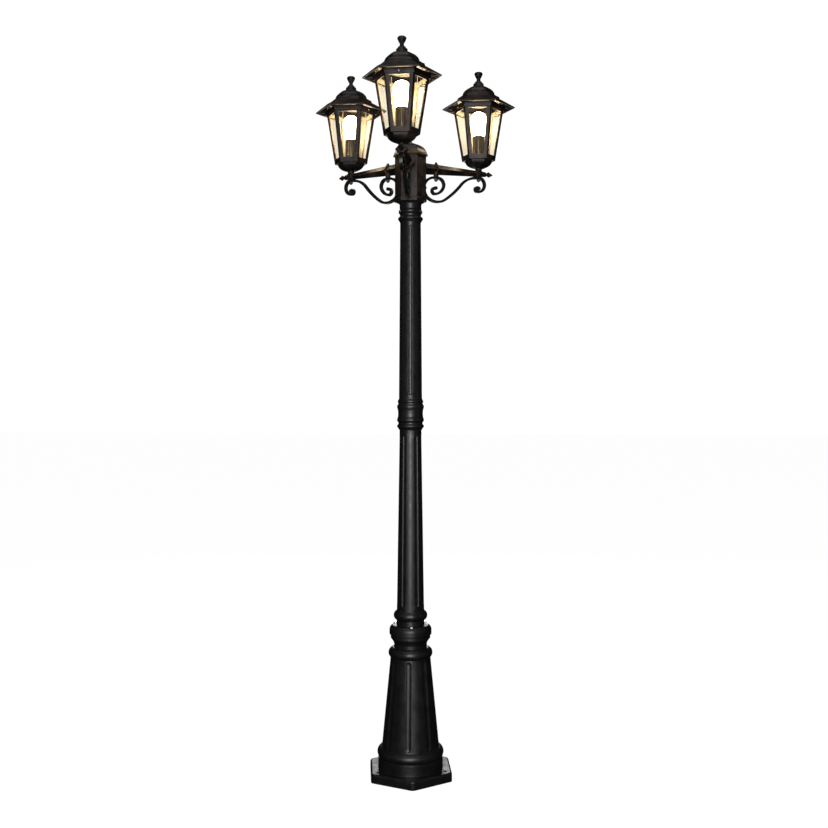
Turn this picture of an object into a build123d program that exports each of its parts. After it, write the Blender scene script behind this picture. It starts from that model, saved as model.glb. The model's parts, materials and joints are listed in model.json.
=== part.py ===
from build123d import *
import os
from math import atan2, cos, degrees, hypot, radians, sin, sqrt, tan

# Triple head lamp post: a fluted two-part post on a hexagonal plinth, a hexagonal hub with
# three tapered arms at 120 degrees, and a six-sided lantern on each arm.
# Millimetres, +Z up. The origin is on the post's axis, on the plinth's underside.
# The front arm runs along -Y; s is the distance from the post's axis along an arm.

# ---------------------------------------------------------------- clearances
SEAT = 0.3          # gap between a moving piece and what it rests on
RUNNING = 0.3       # radial gap of a moving piece in its hole
FIT = 0.1           # radial gap of a fixed piece in its hole

# ---------------------------------------------------------------- base casting
PLINTH_RADIUS = 142.0         # across the corners, halved
PLINTH_HEIGHT = 27.0
PLINTH_TURN = 9.0             # a corner stands this far round from the front arm
PLINTH_CORNER_ROUND = 15.0
PLINTH_EDGE_ROUND = 6.0
ANCHOR_CIRCLE = 236.0         # pitch circle of the ground bolts
ANCHOR_HOLE = 11.0
ANCHOR_COUNT = 3
SKIRT_RADIUS = 99.6
SKIRT_HEIGHT = 30.0
SKIRT_GROOVE = 2.6
SKIRT_GROOVE_HEIGHT = 4.0
LOWER_TORUS_RADIUS = 102.0
LOWER_TORUS_HEIGHT = 29.0
CONE_FOOT_RADIUS = 88.0
CONE_TOP_RADIUS = 61.5
CONE_HEIGHT = 274.0
UPPER_TORUS_RADIUS = 67.8
UPPER_TORUS_HEIGHT = 31.0
NECK_RADIUS = 50.6
NECK_HEIGHT = 10.0
BASE_FLANGE_RADIUS = 61.0
BASE_FLANGE_HEIGHT = 22.0
BASE_FLANGE_EDGE = 4.0        # straight edge above the flange's cove
BASE_COVE_HOLLOW = 1.6
BASE_WALL = 7.0
CONE_FLUTES = 8
CONE_FLUTE_WIDTH = 20.0
CONE_FLUTE_DEPTH = 3.0
CONE_FLUTE_MARGIN = 3.0       # plain cone above and below a flute
CONE_FLUTE_TURN = 1.0

# ---------------------------------------------------------------- clamp ring and its bolts
# A turned outline holds (radius, height above the piece's foot) corners; a third value is the
# radius at the peak of a bulging arc that leads to the corner.
CLAMP_OUTLINE = [(61.2, 0.0), (61.2, 5.5), (64.9, 8.2), (64.9, 21.2), (55.0, 36.0, 63.1)]
SPOT_DEPTH = 1.5              # flats for the bolt heads in the ring's upper face
SPOT_GAP = 1.0                # round a bolt head
BOLT_CIRCLE = 106.0
BOLT_COUNT = 3
BOLT_SHANK = 6.0
BOLT_HEAD = 10.5              # across the corners
BOLT_HEAD_HEIGHT = 5.0
BOLT_REACH = 9.0              # thread in the base casting's flange
FOOT_FLANGE_RADIUS = 50.0     # the lower shaft's flange, trapped under the ring
FOOT_FLANGE_HEIGHT = 9.0

# ---------------------------------------------------------------- lower shaft
FOOT_RADIUS = 42.7
FOOT_ABOVE_RING = 15.0        # plain foot from the ring's top to the shaft's torus
SHAFT_TORUS_RADIUS = 52.0
SHAFT_TORUS_HEIGHT = 29.0
LOWER_SHAFT_FOOT_RADIUS = 42.3
LOWER_SHAFT_TOP_RADIUS = 33.8
LOWER_SHAFT_LENGTH = 556.0
SHAFT_WALL = 4.5
SHAFT_FLUTES = 6
SHAFT_FLUTE_WIDTH = 14.0
SHAFT_FLUTE_DEPTH = 2.3
LOWER_FLUTE_TURN = 35.0
UPPER_FLUTE_TURN = 5.0
LOWER_FLUTE_MARGIN = 14.0
UPPER_FLUTE_MARGIN = 11.0

# ---------------------------------------------------------------- upper shaft
UPPER_SHAFT_FOOT_RADIUS = 35.7
UPPER_SHAFT_TOP_RADIUS = 32.0
UPPER_SHAFT_LENGTH = 544.0
SPIGOT_LENGTH = 45.0          # the upper shaft's top, inside the top collar
SPIGOT_RADIUS = 27.5

# ---------------------------------------------------------------- mid coupling
COUPLING_WAIST_RADIUS = 38.3
SOCKET_OUTLINE = [(34.8, 0.0), (37.4, 5.0), (41.5, 10.0), (41.5, 14.0), (37.4, 19.0), (37.4, 23.0),
                  (41.5, 29.0), (41.5, 33.0), (38.7, 42.0), (COUPLING_WAIST_RADIUS, 53.0)]
COLLAR_OUTLINE = [(COUPLING_WAIST_RADIUS, 0.0), (38.9, 8.0), (41.5, 17.0), (41.5, 22.0), (38.0, 27.0),
                  (38.0, 30.0), (39.5, 34.0), (39.5, 37.0), (UPPER_SHAFT_FOOT_RADIUS, 43.0)]
SLEEVE_RADIUS = 29.0
SLEEVE_WALL = 4.0
SLEEVE_BELOW = 65.0           # sleeve below and above the joint between socket and collar
SLEEVE_ABOVE = 85.0
SLEEVE_SPARE = 2.0            # hollow past each end of the sleeve
SOCKET_LEDGE = 8.0            # thickness of the socket's ring over the lower shaft's end
BORE_LEDGE = 2.5              # step in the upper shaft's bore above the sleeve

# ---------------------------------------------------------------- top collar
BEAD_RADIUS = 36.5            # seat of the grub screws' heads
TOP_COLLAR_OUTLINE = [(32.6, 0.0), (36.1, 7.0), (36.1, 16.0, 38.7), (32.6, 19.0), (32.6, 24.0),
                      (35.1, 28.0), (35.1, 38.0, BEAD_RADIUS + 0.4), (33.7, 41.0), (33.7, 55.0), (35.3, 58.0)]
TOP_COLLAR_LIP = 6.0          # step in the collar's bore over the spigot's end
GRUB_HEIGHT = 33.0            # grub screws above the top collar's foot
GRUB_COUNT = 3
GRUB_TURN = 66.0
GRUB_SHANK = 5.0
GRUB_HEAD = 8.0
GRUB_PROUD = 3.2
GRUB_BEVEL = 1.4
GRUB_GAP = 0.4                # round a head in its spot face

# ---------------------------------------------------------------- hub
HUB_RADIUS = 48.6             # across the corners, halved
HUB_HEIGHT = 146.0
HUB_WALL = 4.0
HUB_RIM_RADIUS = 50.2
HUB_RIM_HEIGHT = 11.0
HUB_RIM_BEVEL = 2.0
HUB_COVE_HEIGHT = 5.0
HUB_COVE_RADIUS = 34.5
HUB_FLOOR = 9.0
HUB_CABLE_HOLE = 13.0
HUB_CABLE_OFFSET = 15.0
HUB_CABLE_TURN = 60.0         # between the front and the right arm
CAP_EAVE_RADIUS = 53.8
CAP_EAVE_HEIGHT = 6.0
CAP_DOME_RADIUS = 51.8
CAP_DOME_HEIGHT = 35.0
CAP_CREASE = 3.0
CAP_FLAT_RADIUS = 9.0         # flat on the cap's top, under its nut
CAP_WALL = 3.0
CAP_LIP_HEIGHT = 7.0
ROD_DIAMETER = 6.0
ROD_ABOVE_CAP = 7.0
CAP_NUT_WIDTH = 12.0
CAP_NUT_HEIGHT = 5.0
CAP_NUT_CROWN = 5.0
TERMINAL_LENGTH = 46.0
TERMINAL_WIDTH = 13.0
TERMINAL_HEIGHT = 15.0
TERMINAL_WAYS = 6
TERMINAL_ENTRY = 3.6          # wire holes through the block, and the screw holes above them
TERMINAL_ENTRY_HEIGHT = 6.0
TERMINAL_SCREW = 3.8
TERMINAL_SCREW_DEPTH = 3.5

# ---------------------------------------------------------------- arms
ARM_ANGLES = {"front": 0.0, "right": 120.0, "left": -120.0}
ARM_ABOVE_HUB_FOOT = 113.8    # the arm's axis above the hub's underside
ARM_ROOT_HALF = 18.4          # half diagonal of the diamond section
ARM_TIP_HALF = 8.2
ARM_REACH = 261.0             # end of the taper
ARM_WALL = 2.6
ROOT_COLLAR_LENGTH = 8.0
ROOT_COLLAR_PROUD = 2.0
POINT_NECK_HALF = 4.8
POINT_NECK_LENGTH = 4.0
POINT_HALF = 9.0
POINT_SHOULDER = 8.0
POINT_LENGTH = 23.0
POINT_TIP_HALF = 0.6
COLLAR_HALF = 24.0
COLLAR_LENGTH = 5.0           # diamond collar over the curl's bolt
BOSS_HALF = 19.5              # diamond boss that carries a lantern
BOSS_LENGTH = 18.0
BOSS_RISE = 8.6               # seat for the stem above the arm's axis
BOSS_DROP = 10.0              # seat for the scroll below the arm's axis
BOSS_BEVEL = 4.0
CURL_PAD_RADIUS = 8.0         # round pad under the collar
CURL_BOLT_REACH = 7.5         # the curl's bolt above its seat

# ---------------------------------------------------------------- scrolls of flat bar
BAR_THICKNESS = 8.0
BAR_WIDTH = 10.0
EYE_RADIUS = 5.5
LANTERN_REACH = 237.0         # the lantern's axis from the post's axis
SCROLL_RISE = [(34.4, 60.0), (52.0, 64.2), (271.0, 16.0)]      # (radius, turn) up from the hub
SCROLL_EYE = [(9.0, -34.0), (22.8, -160.0), (6.6, -225.0)]     # from the crown to the eye
CURL_RISE = [(8.0, -20.0), (37.0, -70.0)]
CURL_EYE = [(20.7, -111.6), (35.9, -60.3), (9.6, -205.3)]
CURL_FOOT_GAP = 2.0           # between the scroll's leg and the curl's foot
CURL_SEAT_DROP = 21.4         # the curl's upper face below the arm's axis
FIXING_SHANK = 4.0
FIXING_HEAD = 8.0
FIXING_HEAD_HEIGHT = 4.5
FIXING_POINT = 3.2            # height of the head's cone
FIXING_PAST_WALL = 3.0
NUT_WIDTH = 12.0
NUT_HEIGHT = 5.0
NUT_POINT = 3.2
NUT_POINT_RADIUS = 4.3        # of the turned point under a nut, and of its tip
NUT_TIP_RADIUS = 2.2

# ---------------------------------------------------------------- lantern
STEM_RADIUS = 11.3
STEM_HEIGHT = 7.0             # from the boss to the bowl
STEM_TUBE = 10.0              # diameter of the threaded tube through the bowl
STUD_RADIUS = 4.0             # stud that passes the scroll, below the arm
STEM_GROOVE = 1.2
STEM_BORE = 5.5
STEM_SIDE_BORE = 4.7          # from the arm's bore into the stem's
TUBE_IN_HOLDER = 6.0
BOWL_RADIUS = 43.5
BOWL_DEPTH = 25.0
BOWL_WALL = 2.6
BOWL_CREASE = 5.0
CAGE_FOOT_RADIUS = 52.7
CAGE_HEAD_RADIUS = 80.0
CAGE_HEIGHT = 168.0
CAGE_WALL = 3.0
CAGE_FLOOR = 4.0
POST_WIDTH = 10.2
BOTTOM_RAIL = 15.0
TOP_RAIL = 13.0
PANE_THICKNESS = 2.4
PANE_LAP = 3.6
PANE_GAP = 0.2                # between a pane and the cage's wall
ROOF_OVERLAP = 1.6            # fascia's edge below the cage's top
ROOF_RADIUS = 115.0
FASCIA_HEIGHT = 3.6
EAVE_RISE = 24.0
EAVE_TOP_RADIUS = 73.0
TIER_RADIUS = 69.0
TIER_TOP_RADIUS = 65.5
TIER_HEIGHT = 9.5
TIER_SINK = 1.0               # of the tier's foot in the eave
TIER_COVE_RADIUS = 62.5
TIER_COVE_HEIGHT = 5.5
DOME_FOOT_RADIUS = 55.4
DOME_RADIUS = 54.8
DOME_HEIGHT = 29.5
DOME_CREASE = 22.0            # corner rounding of the roof's dome at its foot
ROOF_WALL = 3.0
SKIRT_GAP = 1.0               # between the cage and the roof's inner skirt
ROOF_FLAT_RADIUS = 15.0       # flat on the dome's top, under the finial
ROOF_SKIRT_HEIGHT = 14.0
ROOF_SKIRT_LAP = 9.2          # the roof's inner skirt below the cage's top
RIB_WIDTH = 3.0
RIB_LIFT = 0.8                # of the ribs' lower edges over the fascia's edge
NUB_RADIUS = 2.8
NUB_RISE = 17.3               # cast nubs on the eave, above the fascia
NUB_SINK = 0.8
SCREW_SHANK = 3.4
SCREW_HEAD = 6.4
SCREW_HEAD_HEIGHT = 2.4
SCREW_PAST_WALL = 2.0
SCREW_BEVEL = 1.3
SCREW_BELOW_TOP = 4.6
FINIAL_TENON = 7.0
FINIAL_TENON_LENGTH = 7.0
FINIAL_OUTLINE = [(16.8, 0.0), (16.8, 8.0), (15.6, 9.6), (11.6, 10.4), (11.6, 15.0), (6.4, 20.0, 7.6), (6.2, 25.0),
                  (13.0, 38.8, 10.2), (12.4, 42.6, 13.5), (9.0, 45.7, 11.4)]

# ---------------------------------------------------------------- lamp
HOLDER_RADIUS = 18.2
HOLDER_HEIGHT = 75.5
HOLDER_SOCKET = 30.0
HOLDER_WALL = 4.9
HOLDER_FOOT = 6.0             # height of its foot, round the stem's tube
HOLDER_EDGE = 1.2
BULB_CAP_LENGTH = 26.0
CAP_SHOULDER = 4.0            # bevel at the bulb cap's foot
CONTACT_RADIUS = 4.0
CONTACT_HEIGHT = 2.4
BULB_NECK_RADIUS = 18.0
BULB_SHOULDER_RADIUS = 22.5
BULB_SHOULDER_HEIGHT = 22.5
BULB_RADIUS = 25.0
BULB_HEIGHT = 77.0
BULB_WALL = 1.2

COS30 = cos(radians(30))
parts = {}


def keep(name, shape):
    """Name a node's shape and store it for export."""
    shape.label = name
    parts[name] = shape
    return shape


# ---------------------------------------------------------------- shared shapes
def turned(outer, inner):
    """Solid of revolution about Z: outer runs upward, inner back down, as (r, z) corners.
    A corner given as (r, z, r_peak) is reached by an arc that bulges to r_peak."""
    edges = []
    here = outer[0][:2]
    for corner in list(outer[1:]) + list(inner) + [outer[0][:2]]:
        end = corner[:2]
        if hypot(end[0] - here[0], end[1] - here[1]) < 1e-6:
            continue
        if len(corner) == 3:
            peak = (corner[2], (here[1] + end[1]) / 2)
            edges.append(ThreePointArc((here[0], 0, here[1]), (peak[0], 0, peak[1]), (end[0], 0, end[1])))
        else:
            edges.append(Line((here[0], 0, here[1]), (end[0], 0, end[1])))
        here = end
    return revolve(make_face(Wire(edges)), Axis.Z)


def raised(outline, z):
    """A turned outline's corners, lifted to stand on z."""
    return [(corner[0], corner[1] + z, *corner[2:]) for corner in outline]


def drum(radius, low, high, bore=0.0):
    """Plain cylinder or tube about Z between two heights."""
    shape = Pos(0, 0, (low + high) / 2) * Cylinder(radius, high - low)
    if bore:
        shape -= Pos(0, 0, (low + high) / 2) * Cylinder(bore, high - low + 2)
    return shape


def hexagon(radius, z, corner_round=0.0):
    """Horizontal hexagon with flats toward +Y and -Y."""
    outline = RegularPolygon(radius, 6)
    if corner_round:
        outline = fillet(outline.vertices(), corner_round)
    return Pos(0, 0, z) * outline


def hex_taper(low_radius, low, high_radius, high):
    """Hexagonal frustum between two heights."""
    return loft([hexagon(low_radius, low), hexagon(high_radius, high)], ruled=True)


def hex_dome(radius, height, z, crease, top_radius):
    """Six-sided dome on an elliptical outline, cut flat at its top radius; its corners are
    rounded by crease at the foot. A negative height hangs the dome below z."""
    sections = []
    reach = sqrt(1 - (top_radius / radius) ** 2)
    for share in (0.0, 0.3, 0.55, 0.75, 0.9, 1.0):
        rise = share * reach
        r = radius * sqrt(1 - rise ** 2)
        sections.append(hexagon(r, z + height * rise, crease * r / radius))
    return loft(sections)


def capsule(start, end, radius):
    """Round-ended rod between two points."""
    start, end = Vector(*start), Vector(*end)
    along = end - start
    length = along.length
    outline = make_face(Wire([
        ThreePointArc((0, -radius), (radius * sin(radians(45)), -radius * cos(radians(45))), (radius, 0)),
        Line((radius, 0), (radius, length)),
        ThreePointArc((radius, length), (radius * sin(radians(45)), length + radius * cos(radians(45))),
                      (0, length + radius)),
        Line((0, length + radius), (0, -radius)),
    ]))
    rod = revolve(Plane.XZ * outline, Axis.Z)
    return Plane(origin=start, z_dir=along.normalized()) * rod


def flutes(count, turn, foot, top, width, depth, margin):
    """Round-bottomed flutes down a taper; foot and top are the taper's (r, z)."""
    radius = (width ** 2 / 4 + depth ** 2) / (2 * depth)
    lean = atan2(foot[0] - top[0], top[1] - foot[1])
    inset = margin + width / 2
    cutters = []
    for step in range(count):
        ends = []
        for z in (foot[1] + inset, top[1] - inset):
            share = (z - foot[1]) / (top[1] - foot[1])
            surface = foot[0] + (top[0] - foot[0]) * share
            ends.append((surface + (radius - depth) * cos(lean), z + (radius - depth) * sin(lean)))
        rod = capsule((0, -ends[0][0], ends[0][1]), (0, -ends[1][0], ends[1][1]), radius)
        cutters.append(Rot(0, 0, turn + 360 / count * step) * rod)
    return cutters


def around(count, turn, shape):
    """Copies of a shape about the post's axis, the first one turned from the front."""
    return [Rot(0, 0, turn + 360 / count * step) * shape for step in range(count)]


def along_front(near, far, z, radius):
    """Cylinder that lies toward the front, between two distances from the axis."""
    return Pos(0, -(near + far) / 2, z) * Rot(90, 0, 0) * Cylinder(radius, far - near)


def diamond(half, s, z):
    """Diamond section of an arm, square to the arm at distance s."""
    return Plane(origin=(0, -s, z), x_dir=(1, 0, 0), z_dir=(0, -1, 0)) * RegularPolygon(half, 4)


def diamond_taper(start_half, start, end_half, end, z):
    return loft([diamond(start_half, start, z), diamond(end_half, end, z)], ruled=True)


def block_from(level, way):
    """Large block on one side of a level, up (way 1) or down (way -1), to trim with."""
    size = 4 * COLLAR_HALF
    return Pos(0, 0, level + way * size / 2) * Box(size, size, size)


def hex_head(width, height, z):
    """Hexagonal bolt head standing on z, its upper corners eased."""
    head = extrude(Pos(0, 0, z) * RegularPolygon(width / 2, 6), height)
    crown = turned([(0, z), (width / 2, z), (width / 2, z + height * 0.75),
                    (width * 0.4, z + height)], [(0, z + height)])
    return head & crown


def pointed_nut(width, height, point, z):
    """Nut hanging below z, with a turned point beneath it."""
    body = extrude(Pos(0, 0, z - height) * RegularPolygon(width / 2, 6), height)
    tip = turned([(NUT_TIP_RADIUS, z - height - point), (NUT_POINT_RADIUS, z - height)],
                 [(0, z - height), (0, z - height - point)])
    return body + tip


def after_arcs(heading, arcs):
    """Travel (s, z) along a chain of tangent (radius, turn) arcs, and the heading at its end."""
    s = z = 0.0
    for radius, turn in arcs:
        signed = radius if turn > 0 else -radius
        old, heading = radians(heading), heading + turn
        s += signed * (sin(radians(heading)) - sin(old))
        z += signed * (cos(old) - cos(radians(heading)))
    return s, z, heading


# ---------------------------------------------------------------- levels up the post
SKIRT_Z = PLINTH_HEIGHT
LOWER_TORUS_Z = SKIRT_Z + SKIRT_HEIGHT + SKIRT_GROOVE_HEIGHT
CONE_Z = LOWER_TORUS_Z + LOWER_TORUS_HEIGHT
CONE_TOP_Z = CONE_Z + CONE_HEIGHT
NECK_Z = CONE_TOP_Z + UPPER_TORUS_HEIGHT
BASE_FLANGE_Z = NECK_Z + NECK_HEIGHT
CLAMP_Z = BASE_FLANGE_Z + BASE_FLANGE_HEIGHT
CLAMP_TOP_Z = CLAMP_Z + CLAMP_OUTLINE[-1][1]
SHAFT_TORUS_Z = CLAMP_TOP_Z + FOOT_ABOVE_RING
LOWER_SHAFT_Z = SHAFT_TORUS_Z + SHAFT_TORUS_HEIGHT
COUPLING_Z = LOWER_SHAFT_Z + LOWER_SHAFT_LENGTH
PARTING_Z = COUPLING_Z + SOCKET_OUTLINE[-1][1]
UPPER_SHAFT_Z = PARTING_Z + COLLAR_OUTLINE[-1][1]
TOP_COLLAR_Z = UPPER_SHAFT_Z + UPPER_SHAFT_LENGTH
HUB_Z = TOP_COLLAR_Z + TOP_COLLAR_OUTLINE[-1][1]
HUB_TOP_Z = HUB_Z + HUB_HEIGHT
ARM_Z = HUB_Z + ARM_ABOVE_HUB_FOOT
STEM_Z = ARM_Z + BOSS_RISE
BOWL_FOOT_Z = STEM_Z + STEM_HEIGHT
CAGE_Z = BOWL_FOOT_Z + BOWL_DEPTH * sqrt(1 - (STEM_RADIUS / BOWL_RADIUS) ** 2)
CAGE_TOP_Z = CAGE_Z + CAGE_HEIGHT
SCREW_Z = CAGE_TOP_Z - SCREW_BELOW_TOP
HUB_FACE = HUB_RADIUS * COS30
HUB_HOLLOW = HUB_RADIUS - HUB_WALL / COS30

# The scrolls' crowns are flat for one nut's width. The curl's crown sets the place of the
# arm's collar, and the scroll's last arc before its crown is as large as the lantern's reach asks.
BAR_S = HUB_FACE + BAR_THICKNESS / 2
CURL_RUN, CURL_CLIMB, _ = after_arcs(90, CURL_RISE)
COLLAR_POSITION = BAR_S + CURL_RUN + NUT_WIDTH / 2
CURL_FOOT_Z = ARM_Z - CURL_SEAT_DROP - BAR_THICKNESS / 2 - CURL_CLIMB
SCROLL_RUN, SCROLL_CLIMB, SCROLL_SLOPE = after_arcs(-90, SCROLL_RISE)
CROWN_RADIUS = (LANTERN_REACH - NUT_WIDTH / 2 - BAR_S - SCROLL_RUN) / sin(radians(SCROLL_SLOPE))
LEG_TOP_Z = CURL_FOOT_Z - CURL_FOOT_GAP
LEG_FOOT_Z = (ARM_Z - BOSS_DROP - BAR_THICKNESS / 2 - SCROLL_CLIMB
              - CROWN_RADIUS * (1 - cos(radians(SCROLL_SLOPE))))
FIXING_Z = (LEG_TOP_Z + LEG_FOOT_Z) / 2


# ---------------------------------------------------------------- the post
def base_casting():
    wall = BASE_WALL
    body = turned(
        [(SKIRT_RADIUS, PLINTH_HEIGHT / 2), (SKIRT_RADIUS, SKIRT_Z + SKIRT_HEIGHT),
         (SKIRT_RADIUS - SKIRT_GROOVE, SKIRT_Z + SKIRT_HEIGHT),
         (SKIRT_RADIUS - SKIRT_GROOVE, LOWER_TORUS_Z),
         (CONE_FOOT_RADIUS, CONE_Z, LOWER_TORUS_RADIUS), (CONE_TOP_RADIUS, CONE_TOP_Z),
         (NECK_RADIUS, NECK_Z, UPPER_TORUS_RADIUS), (NECK_RADIUS, BASE_FLANGE_Z),
         (BASE_FLANGE_RADIUS, CLAMP_Z - BASE_FLANGE_EDGE,
          (NECK_RADIUS + BASE_FLANGE_RADIUS) / 2 - BASE_COVE_HOLLOW),
         (BASE_FLANGE_RADIUS, CLAMP_Z)],
        [(NECK_RADIUS - wall, CLAMP_Z), (NECK_RADIUS - wall, CONE_TOP_Z + wall),
         (CONE_TOP_RADIUS - wall, CONE_TOP_Z), (CONE_FOOT_RADIUS - wall, CONE_Z),
         (SKIRT_RADIUS - SKIRT_GROOVE - wall, LOWER_TORUS_Z),
         (SKIRT_RADIUS - SKIRT_GROOVE - wall, PLINTH_HEIGHT / 2)])
    cutters = flutes(CONE_FLUTES, CONE_FLUTE_TURN, (CONE_FOOT_RADIUS, CONE_Z), (CONE_TOP_RADIUS, CONE_TOP_Z),
                     CONE_FLUTE_WIDTH, CONE_FLUTE_DEPTH, CONE_FLUTE_MARGIN)
    body -= cutters
    plinth = extrude(hexagon(PLINTH_RADIUS, 0, PLINTH_CORNER_ROUND), PLINTH_HEIGHT)
    plinth = Rot(0, 0, PLINTH_TURN - 30) * plinth
    plinth = fillet(plinth.faces().sort_by(Axis.Z)[-1].edges(), PLINTH_EDGE_ROUND)
    plinth -= drum(SKIRT_RADIUS - SKIRT_GROOVE - wall, -1, PLINTH_HEIGHT + 1)
    hole = Pos(0, -ANCHOR_CIRCLE / 2, PLINTH_HEIGHT / 2) * Cylinder(ANCHOR_HOLE / 2, PLINTH_HEIGHT * 2)
    plinth -= around(ANCHOR_COUNT, PLINTH_TURN + 60, hole)
    bolt_hole = Pos(0, -BOLT_CIRCLE / 2, CLAMP_Z) * Cylinder(BOLT_SHANK / 2 + FIT, 2 * BOLT_REACH)
    body -= around(BOLT_COUNT, PLINTH_TURN, bolt_hole)
    return plinth + body


def clamp_ring():
    bore, recess = FOOT_RADIUS + RUNNING, FOOT_FLANGE_RADIUS + RUNNING
    ledge = CLAMP_Z + FOOT_FLANGE_HEIGHT
    ring = turned(raised(CLAMP_OUTLINE, CLAMP_Z), [(bore, CLAMP_TOP_Z), (bore, ledge), (recess, ledge),
                                                   (recess, CLAMP_Z)])
    spot = drum(BOLT_HEAD / 2 + SPOT_GAP, CLAMP_TOP_Z - SPOT_DEPTH, CLAMP_TOP_Z + SPOT_DEPTH)
    hole = drum(BOLT_SHANK / 2 + FIT, CLAMP_Z - 1, CLAMP_TOP_Z + 1)
    return ring - around(BOLT_COUNT, PLINTH_TURN, Pos(0, -BOLT_CIRCLE / 2, 0) * (spot + hole))


def clamp_bolts():
    seat = CLAMP_TOP_Z - SPOT_DEPTH
    head = hex_head(BOLT_HEAD, BOLT_HEAD_HEIGHT, seat)
    bolt = Pos(0, -BOLT_CIRCLE / 2, 0) * (head + drum(BOLT_SHANK / 2, CLAMP_Z - BOLT_REACH, seat))
    return Compound(children=around(BOLT_COUNT, PLINTH_TURN, bolt))


def lower_shaft():
    top = PARTING_Z - SOCKET_LEDGE
    socket = SLEEVE_RADIUS + RUNNING
    wall = SHAFT_WALL + SHAFT_FLUTE_DEPTH
    body = turned(
        [(FOOT_FLANGE_RADIUS, CLAMP_Z), (FOOT_FLANGE_RADIUS, CLAMP_Z + FOOT_FLANGE_HEIGHT),
         (FOOT_RADIUS, CLAMP_Z + FOOT_FLANGE_HEIGHT), (FOOT_RADIUS, SHAFT_TORUS_Z),
         (LOWER_SHAFT_FOOT_RADIUS, LOWER_SHAFT_Z, SHAFT_TORUS_RADIUS),
         (LOWER_SHAFT_TOP_RADIUS, COUPLING_Z), (LOWER_SHAFT_TOP_RADIUS, top)],
        [(socket, top), (socket, PARTING_Z - SLEEVE_BELOW - SLEEVE_SPARE),
         (LOWER_SHAFT_FOOT_RADIUS - wall, LOWER_SHAFT_Z), (FOOT_RADIUS - wall, CLAMP_Z)])
    return body - flutes(SHAFT_FLUTES, LOWER_FLUTE_TURN, (LOWER_SHAFT_FOOT_RADIUS, LOWER_SHAFT_Z),
                         (LOWER_SHAFT_TOP_RADIUS, COUPLING_Z), SHAFT_FLUTE_WIDTH, SHAFT_FLUTE_DEPTH,
                         LOWER_FLUTE_MARGIN)


def coupling_socket():
    """Lower half of the mid coupling, fixed over the lower shaft's top."""
    bore, ledge = LOWER_SHAFT_TOP_RADIUS + FIT, PARTING_Z - SOCKET_LEDGE
    sleeve = SLEEVE_RADIUS + RUNNING
    return turned(raised(SOCKET_OUTLINE, COUPLING_Z), [(sleeve, PARTING_Z), (sleeve, ledge), (bore, ledge),
                                                       (bore, COUPLING_Z)])


def coupling_cap():
    """Upper half of the mid coupling, a collar round the upper shaft's foot."""
    sleeve = SLEEVE_RADIUS + RUNNING
    return turned(raised(COLLAR_OUTLINE, PARTING_Z), [(sleeve, UPPER_SHAFT_Z), (sleeve, PARTING_Z)])


def coupling_sleeve():
    return drum(SLEEVE_RADIUS, PARTING_Z - SLEEVE_BELOW, PARTING_Z + SLEEVE_ABOVE, SLEEVE_RADIUS - SLEEVE_WALL)


def upper_shaft():
    socket = SLEEVE_RADIUS + RUNNING
    socket_top = PARTING_Z + SLEEVE_ABOVE + SLEEVE_SPARE
    bore = SPIGOT_RADIUS - SHAFT_WALL
    spigot_top = TOP_COLLAR_Z + SPIGOT_LENGTH
    body = turned(
        [(UPPER_SHAFT_FOOT_RADIUS, UPPER_SHAFT_Z), (UPPER_SHAFT_TOP_RADIUS, TOP_COLLAR_Z),
         (SPIGOT_RADIUS, TOP_COLLAR_Z), (SPIGOT_RADIUS, spigot_top)],
        [(bore, spigot_top), (bore, TOP_COLLAR_Z), (socket - BORE_LEDGE, socket_top), (socket, socket_top),
         (socket, UPPER_SHAFT_Z)])
    return body - flutes(SHAFT_FLUTES, UPPER_FLUTE_TURN, (UPPER_SHAFT_FOOT_RADIUS, UPPER_SHAFT_Z),
                         (UPPER_SHAFT_TOP_RADIUS, TOP_COLLAR_Z), SHAFT_FLUTE_WIDTH, SHAFT_FLUTE_DEPTH,
                         UPPER_FLUTE_MARGIN)


def top_collar():
    bore, spigot_top = SPIGOT_RADIUS + RUNNING, TOP_COLLAR_Z + SPIGOT_LENGTH
    body = turned(raised(TOP_COLLAR_OUTLINE, TOP_COLLAR_Z),
                  [(bore - TOP_COLLAR_LIP, HUB_Z), (bore - TOP_COLLAR_LIP, spigot_top), (bore, spigot_top),
                   (bore, TOP_COLLAR_Z)])
    level = TOP_COLLAR_Z + GRUB_HEIGHT
    hole = along_front(SPIGOT_RADIUS, BEAD_RADIUS, level, GRUB_SHANK / 2 + FIT)
    hole += along_front(BEAD_RADIUS, BEAD_RADIUS + GRUB_PROUD, level, GRUB_HEAD / 2 + GRUB_GAP)
    return body - around(GRUB_COUNT, GRUB_TURN, hole)


def grub_screws():
    """Bright screws that pin the top collar to the shaft's spigot, with low round heads."""
    head_top = BEAD_RADIUS + GRUB_PROUD
    shank, head = GRUB_SHANK / 2, GRUB_HEAD / 2
    profile = turned([(shank, SPIGOT_RADIUS), (shank, BEAD_RADIUS), (head, BEAD_RADIUS),
                      (head, head_top - GRUB_BEVEL), (head - GRUB_BEVEL, head_top)],
                     [(0, head_top), (0, SPIGOT_RADIUS)])
    screw = Pos(0, 0, TOP_COLLAR_Z + GRUB_HEIGHT) * Rot(90, 0, 0) * profile
    return Compound(children=around(GRUB_COUNT, GRUB_TURN, screw))


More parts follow.
